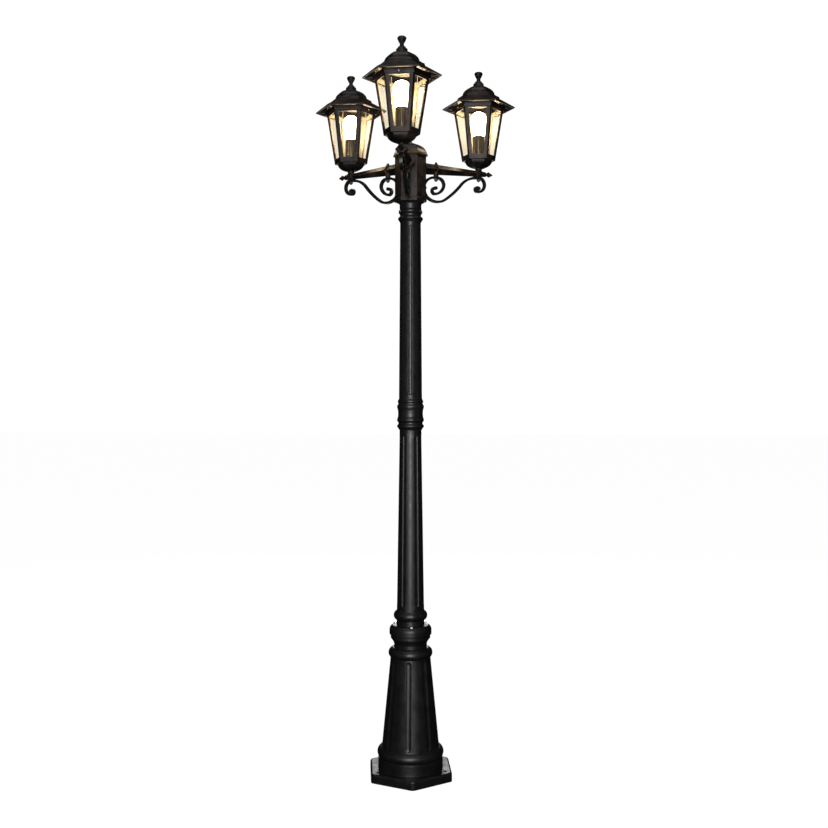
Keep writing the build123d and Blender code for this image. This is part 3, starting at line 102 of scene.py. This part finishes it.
# ---------------------------------------------------------------- node trees
class Shader:
    """A material's node tree on object coordinates, round one Principled shader."""

    def __init__(self, name):
        self.material = bpy.data.materials.new(name)
        self.material.use_nodes = True
        self.nodes = self.material.node_tree.nodes
        self.surface = self.nodes["Principled BSDF"]
        self.place = self.add("ShaderNodeTexCoord").outputs["Object"]

    def add(self, kind, settings=None, **inputs):
        """New node; an input given as a socket is linked, and any other value is set."""
        node = self.nodes.new(kind)
        for name, value in (settings or {}).items():
            setattr(node, name, value)
        for name, value in inputs.items():
            self.feed(node.inputs[name.replace("_", " ")], value)
        return node

    def feed(self, socket, value):
        if isinstance(value, bpy.types.NodeSocket):
            self.material.node_tree.links.new(value, socket)
        else:
            socket.default_value = value

    def noise(self, scale, detail, roughness=0.55, stretch=(1, 1, 1)):
        """Noise of a given number of cells per metre, in the range 0 to 1."""
        place = self.add("ShaderNodeMapping", Vector=self.place, Scale=stretch).outputs[0]
        return self.add("ShaderNodeTexNoise", Vector=place, Scale=scale, Detail=detail,
                        Roughness=roughness).outputs["Fac"]

    def ramp(self, value, low, high, start=0.0, end=1.0):
        """A value mapped smoothly from low..high to start..end."""
        node = self.add("ShaderNodeMapRange", {"interpolation_type": "SMOOTHSTEP"}, Value=value)
        for name, number in (("From Min", low), ("From Max", high), ("To Min", start), ("To Max", end)):
            node.inputs[name].default_value = number
        return node.outputs[0]

    def math(self, operation, a, b):
        node = self.add("ShaderNodeMath", {"operation": operation})
        self.feed(node.inputs[0], a)
        self.feed(node.inputs[1], b)
        return node.outputs[0]

    def times(self, a, b):
        return self.math("MULTIPLY", a, b)

    def vector(self, operation, *values):
        """Result of a vector operation, a number for LENGTH and DOT_PRODUCT."""
        node = self.add("ShaderNodeVectorMath", {"operation": operation})
        for socket, value in zip(node.inputs, values):
            self.feed(socket, value)
        return node.outputs["Value" if operation in ("LENGTH", "DOT_PRODUCT") else "Vector"]

    def parts(self, vector):
        """x, y and z of a vector."""
        return self.add("ShaderNodeSeparateXYZ", Vector=vector).outputs

    def blend(self, share, a, b):
        """Colour a turning to b as share goes from 0 to 1."""
        node = self.add("ShaderNodeMix", {"data_type": "RGBA"})
        self.feed(node.inputs[0], share)
        for socket, colour in ((node.inputs[6], a), (node.inputs[7], b)):
            self.feed(socket, (*colour, 1) if isinstance(colour, tuple) else colour)
        return node.outputs[2]

    def bump(self, height, distance, strength, normal=None):
        node = self.add("ShaderNodeBump", Height=height, Distance=distance, Strength=strength)
        if normal is not None:
            self.feed(node.inputs["Normal"], normal)
        return node.outputs[0]

    def sharp_edges(self, radius):
        """(mask that is 1 along sharp edges, normal that rounds them)."""
        soft = self.add("ShaderNodeBevel", {"samples": 6}, Radius=radius).outputs[0]
        flat = self.add("ShaderNodeNewGeometry").outputs["Normal"]
        likeness = self.vector("DOT_PRODUCT", soft, flat)
        return self.ramp(likeness, low=0.985, high=0.86), soft

    def set(self, **inputs):
        for name, value in inputs.items():
            self.feed(self.surface.inputs[name.replace("_", " ")], value)
        return self.material


def inside_lanterns(shader):
    """Mask that is 1 on the faces round a lamp: the cage's inner walls and the roof's ceiling."""
    x, y, z = shader.parts(shader.place)
    flat = shader.add("ShaderNodeCombineXYZ", X=x, Y=y).outputs[0]
    normal = shader.add("ShaderNodeNewGeometry").outputs["Normal"]
    overhead = shader.math("LESS_THAN", shader.parts(normal)[2], CEILING_FACING)
    mask = 0.0
    for side in SIDES:
        out = shader.vector("SUBTRACT", flat, lamp_axis(side))
        reach = shader.vector("LENGTH", out)
        outward = shader.vector("DOT_PRODUCT", shader.vector("NORMALIZE", out), normal)
        wall = shader.times(shader.math("LESS_THAN", reach, WALL_REACH),
                            shader.math("LESS_THAN", outward, WALL_FACING))
        ceiling = shader.times(shader.math("LESS_THAN", reach, CEILING_REACH), overhead)
        mask = shader.math("MAXIMUM", mask, shader.math("MAXIMUM", wall, ceiling))
    low, high = LINING_LEVELS
    level = shader.times(shader.math("GREATER_THAN", z, low), shader.math("LESS_THAN", z, high))
    return shader.times(mask, level)


# ---------------------------------------------------------------- finishes
def powder_coat(name, warm, edge_colour, edge_share, roughness, shine, lined):
    """Satin black coat on a casting: fine peel, slow gloss changes, bronze rub that on the head castings
    also paints warm lamp light, and lighter edges that are rubbed wear on the post and a painted copper
    highlight on the head castings.
    """
    shader = Shader(name)
    edges, rounded = shader.sharp_edges(radius=0.0014)
    patches = shader.ramp(shader.noise(scale=22, detail=5, roughness=0.62), low=0.42, high=0.72)
    # Bronze rub, strong on the head castings, where it also paints the warm light the lanterns throw on
    # them.
    colour = shader.blend(shader.times(patches, warm), BLACK, BRONZE_AND_LAMP_WARMTH)
    edge_mottle = shader.ramp(shader.noise(scale=120, detail=3), low=0.35, high=0.62, start=0.15, end=edge_share)
    # Lighter edges: rubbed wear on the post; on the head castings a painted copper highlight, lamp light
    # caught along the edges.
    colour = shader.blend(shader.times(edges, edge_mottle), colour, edge_colour)
    if lined:
        colour = shader.blend(inside_lanterns(shader), colour, LINING)
    gloss = shader.ramp(shader.noise(scale=35, detail=4), low=0.3, high=0.7,
                        start=roughness - 0.05, end=roughness + 0.07)
    cast = shader.bump(shader.noise(scale=260, detail=3), distance=0.0004, strength=0.35, normal=rounded)
    peel = shader.bump(shader.noise(scale=1500, detail=2), distance=0.00012, strength=0.5, normal=cast)
    return shader.set(Base_Color=colour, Roughness=gloss, Normal=peel, Specular_IOR_Level=shine)


def bar_paint(name):
    """Satin black on flat bar, with the drawn lines of the bar under it."""
    shader = Shader(name)
    edges, rounded = shader.sharp_edges(radius=0.0010)
    edge_mottle = shader.ramp(shader.noise(scale=160, detail=3), low=0.4, high=0.65, start=0.1, end=0.5)
    colour = shader.blend(shader.times(edges, edge_mottle), BLACK, RUBBED_BAR)
    gloss = shader.ramp(shader.noise(scale=60, detail=4), low=0.3, high=0.7, start=0.34, end=0.46)
    drawn = shader.noise(scale=700, detail=3, stretch=(1, 1, 0.2))
    surface = shader.bump(drawn, distance=0.0002, strength=0.5, normal=rounded)
    return shader.set(Base_Color=colour, Roughness=gloss, Normal=surface, Specular_IOR_Level=0.5)


def zinc(name, tone):
    """Plated metal with dulled patches and fine turning lines."""
    shader = Shader(name)
    bloom = shader.ramp(shader.noise(scale=420, detail=4), low=0.35, high=0.7)
    colour = shader.blend(bloom, tone, tuple(ZINC_BLOOM * part for part in tone))
    gloss = shader.ramp(shader.noise(scale=900, detail=2), low=0.3, high=0.7, start=0.22, end=0.4)
    lines = shader.noise(scale=1400, detail=2, stretch=(1, 1, 6))
    turned = shader.bump(lines, distance=0.0001, strength=0.4)
    return shader.set(Base_Color=colour, Roughness=gloss, Normal=turned, Metallic=1.0)


def pane_glass(name):
    """Clear sheet with a cream cast, seen through, with a thin film of dust that catches the lamp."""
    shader = Shader(name)
    film = shader.ramp(shader.noise(scale=34, detail=6, roughness=0.7), low=0.35, high=0.75,
                       start=0.0014, end=0.0036)
    wave = shader.bump(shader.noise(scale=26, detail=2), distance=0.0006, strength=0.4)
    clouds = shader.ramp(shader.noise(scale=18, detail=3), low=0.3, high=0.7)
    cast = shader.blend(clouds, CREAM_DEEP, CREAM_PALE)
    shader.set(Base_Color=PANE_FILM, Roughness=0.10, Normal=wave, IOR=1.45)
    clear = shader.add("ShaderNodeBsdfTransparent", Color=cast)
    grazing = shader.add("ShaderNodeLayerWeight", Blend=0.12).outputs["Fresnel"]
    mix = shader.add("ShaderNodeMixShader", Fac=shader.math("ADD", film, shader.times(grazing, 0.10)))
    shader.feed(mix.inputs[1], clear.outputs[0])
    shader.feed(mix.inputs[2], shader.surface.outputs[0])
    shader.feed(shader.nodes["Material Output"].inputs["Surface"], mix.outputs[0])
    return shader.material


def lit_bulb(name):
    """Opal glass, lit from inside."""
    shader = Shader(name)
    clouds = shader.ramp(shader.noise(scale=70, detail=3), low=0.3, high=0.7)
    glow = shader.blend(clouds, GLOW_PALE, GLOW_DEEP)
    return shader.set(Base_Color=OPAL, Roughness=0.3, Emission_Color=glow, Emission_Strength=42.0)


def holder_shell(name):
    """Dark glossy moulded lampholder with a faint warm cast."""
    shader = Shader(name)
    flow = shader.ramp(shader.noise(scale=60, detail=4, stretch=(1, 1, 0.15)), low=0.35, high=0.7)
    colour = shader.blend(flow, HOLDER_DARK, HOLDER_LIGHT)
    gloss = shader.ramp(shader.noise(scale=200, detail=3), low=0.3, high=0.7, start=0.16, end=0.24)
    return shader.set(Base_Color=colour, Roughness=gloss, Metallic=0.4, Specular_IOR_Level=0.8)


def pale_plastic(name):
    """Moulded terminal block."""
    shader = Shader(name)
    clouds = shader.ramp(shader.noise(scale=90, detail=4), low=0.3, high=0.7)
    tone = shader.blend(clouds, PLASTIC_DARK, PLASTIC_LIGHT)
    grain = shader.bump(shader.noise(scale=1200, detail=2), distance=0.0001, strength=0.4)
    return shader.set(Base_Color=tone, Roughness=0.5, Normal=grain)


def dress_nodes():
    """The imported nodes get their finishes: the post's castings one, the rest one for each slot."""
    post = powder_coat("post_black", warm=0.10, edge_colour=RUBBED_COAT, edge_share=0.35, roughness=0.40,
                       shine=0.5, lined=False)
    by_slot = {
        # Head castings: bronze rub that also paints warm lamp light, and a painted copper highlight along
        # the edges.
        "black_casting": powder_coat("head_black", warm=0.85, edge_colour=PAINTED_EDGE_GLINT, edge_share=0.85,
                                     roughness=0.42, shine=0.19, lined=True),
        "black_bar": bar_paint("bar_black"),
        "black_fixing": bar_paint("fixing_black"),
        "zinc_fixing": zinc("bright_zinc", BRIGHT_ZINC),
        "galvanised_sleeve": zinc("galvanised", DULL_ZINC),
        "clear_pane": pane_glass("cream_pane"),
        "lit_bulb": lit_bulb("opal_bulb"),
        "bulb_cap_metal": zinc("bulb_cap", CAP_METAL),
        "lampholder_ceramic": holder_shell("holder_core"),
        "terminal_plastic": pale_plastic("terminal_block")}
    for name, thing in nodes.items():
        thing.data.materials.clear()
        thing.data.materials.append(post if name in POST_NODES else by_slot[slots[name]])


def new_object(name, form, finish):
    """Object in the scene, made from a bmesh, with its finish."""
    mesh = bpy.data.meshes.new(name)
    form.to_mesh(mesh)
    form.free()
    thing = bpy.data.objects.new(name, mesh)
    bpy.context.collection.objects.link(thing)
    mesh.materials.append(finish)
    return thing


# ---------------------------------------------------------------- ribbed lampholders
HOLDER_RIBS = 12
STEPS_PER_RIB = 8
GROOVE_SPAN = (0.3, 0.7)      # part of a rib's pitch that the groove beside it takes
GROOVE_DEPTH = 0.0010
GROOVE_FOOT = 0.010           # plain band under the grooves
GROOVE_HEAD = 0.007           # plain band over them
HOLDER_EDGE = 0.0012
SOCKET_RADIUS = 0.0133        # round the bulb's cap
SOCKET_DEPTH = 0.030
TUBE_RADIUS = 0.0051          # round the lantern's stem
TUBE_DEPTH = 0.006
WIRE_RADIUS = 0.00275


def ribbed_holder(side, finish):
    """Moulded lampholder: a turned shell with upright grooves round it and a socket for the bulb."""
    low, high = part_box(f"{side}_lampholder")
    radius = (high[0] - low[0]) / 2
    foot, top = low[2], high[2]
    groove_low, groove_high = foot + GROOVE_FOOT, top - GROOVE_HEAD
    socket_floor = top - SOCKET_DEPTH
    outline = [(TUBE_RADIUS, foot), (radius - HOLDER_EDGE, foot), (radius, foot + 2 * HOLDER_EDGE),
               (radius, groove_low), (radius, groove_low + GROOVE_DEPTH),
               (radius, groove_high - GROOVE_DEPTH), (radius, groove_high),
               (radius, top - HOLDER_EDGE), (radius - HOLDER_EDGE, top), (SOCKET_RADIUS, top),
               (SOCKET_RADIUS, socket_floor), (WIRE_RADIUS, socket_floor),
               (WIRE_RADIUS, foot + TUBE_DEPTH), (TUBE_RADIUS, foot + TUBE_DEPTH)]
    shell = bmesh.new()
    ring = [shell.verts.new((r, 0, z)) for r, z in outline]
    rim = [shell.edges.new((ring[i - 1], ring[i])) for i in range(len(ring))]
    bmesh.ops.spin(shell, geom=ring + rim, cent=(0, 0, 0), axis=(0, 0, 1), angle=radians(360),
                   steps=HOLDER_RIBS * STEPS_PER_RIB, use_merge=True)
    sunk = (radius - GROOVE_DEPTH) / radius
    for vert in shell.verts:
        between_bands = groove_low < vert.co.z - GROOVE_DEPTH / 2 < groove_high - GROOVE_DEPTH
        outside = hypot(vert.co.x, vert.co.y) > radius - HOLDER_EDGE / 2
        pitch = atan2(vert.co.y, vert.co.x) / radians(360) * HOLDER_RIBS % 1
        if between_bands and outside and GROOVE_SPAN[0] < pitch < GROOVE_SPAN[1]:
            vert.co.x *= sunk
            vert.co.y *= sunk
    bmesh.ops.recalc_face_normals(shell, faces=shell.faces)
    bmesh.ops.translate(shell, vec=lamp_axis(side), verts=shell.verts)
    holder = new_object(f"{side}_ribbed_holder", shell, finish)
    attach(holder, "post")
    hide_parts(f"{side}_lampholder")


# ---------------------------------------------------------------- studio
FILL = 0.010                  # strength of the world on the post
BACKDROP = 1.05               # strength of the world in the camera's view
MID_POST = (0, 0, 1.1)
FLOOR_REACH = 30.0
FLOOR_GLOW = 0.985


def studio():
    """White backdrop, and soft boxes round the post."""
    scene = bpy.context.scene
    scene.view_settings.view_transform = "Standard"
    world = bpy.data.worlds.new("studio")
    world.use_nodes = True
    scene.world = world
    tree = world.node_tree
    back = tree.nodes["Background"]
    rays = tree.nodes.new("ShaderNodeLightPath")
    level = tree.nodes.new("ShaderNodeMapRange")
    level.inputs["To Min"].default_value = FILL
    level.inputs["To Max"].default_value = BACKDROP
    tree.links.new(rays.outputs["Is Camera Ray"], level.inputs["Value"])
    tree.links.new(level.outputs[0], back.inputs["Strength"])
    back.inputs["Color"].default_value = WHITE

    softbox("front_box", place=(0.3, -4.2, 1.5), target=MID_POST, width=1.1, height=2.6, power=150)
    softbox("left_strip", place=(-3.4, -1.0, 1.6), target=MID_POST, width=0.5, height=2.4, power=1.5)
    softbox("right_strip", place=(3.4, -0.8, 1.6), target=MID_POST, width=0.5, height=2.4, power=1.5)
    softbox("overhead", place=(0, -0.6, 4.4), target=(0, 0, 1.0), width=2.0, height=2.0, power=26)
    softbox("back_box", place=(-0.4, 4.2, 1.7), target=MID_POST, width=1.1, height=2.6, power=34)


def softbox(name, place, target, width, height, power):
    light = bpy.data.lights.new(name, "AREA")
    light.shape = "RECTANGLE"
    light.size, light.size_y = width, height
    light.energy = power
    lamp = bpy.data.objects.new(name, light)
    lamp.location = place
    lamp.rotation_euler = (Vector(target) - Vector(place)).to_track_quat("-Z", "Y").to_euler()
    bpy.context.collection.objects.link(lamp)


def floor():
    """Pale floor that the camera sees and that throws no light up the post."""
    sheet = bmesh.new()
    bmesh.ops.create_grid(sheet, x_segments=1, y_segments=1, size=FLOOR_REACH)
    shader = Shader("pale_floor")
    clouds = shader.ramp(shader.noise(scale=0.7, detail=2), low=0.3, high=0.7)
    tone = shader.blend(clouds, FLOOR_DARK, FLOOR_LIGHT)
    finish = shader.set(Base_Color=tone, Roughness=1.0, Specular_IOR_Level=0.0, Emission_Color=WHITE,
                        Emission_Strength=FLOOR_GLOW)
    ground = new_object("floor", sheet, finish)
    ground.visible_diffuse = ground.visible_glossy = False


def camera():
    """Level camera, shifted so that the post's axis and the horizon fall as in the photograph."""
    data = bpy.data.cameras.new("camera")
    data.sensor_width = SENSOR
    data.lens = SENSOR * FOCAL_PIXELS / PHOTO_SIDE
    data.shift_x = (PHOTO_SIDE / 2 - AXIS_PIXEL) / PHOTO_SIDE
    data.shift_y = (HORIZON_PIXEL - PHOTO_SIDE / 2) / PHOTO_SIDE
    eye = bpy.data.objects.new("camera", data)
    eye.location = (sin(CAMERA_TURN) * CAMERA_DISTANCE, -cos(CAMERA_TURN) * CAMERA_DISTANCE, CAMERA_HEIGHT)
    eye.rotation_euler = (radians(90), 0, CAMERA_TURN)
    bpy.context.collection.objects.link(eye)
    bpy.context.scene.camera = eye


camera()
dress_nodes()
holder_finish = holder_shell("holder_shell")
for side in SIDES:
    ribbed_holder(side, holder_finish)
studio()
floor()
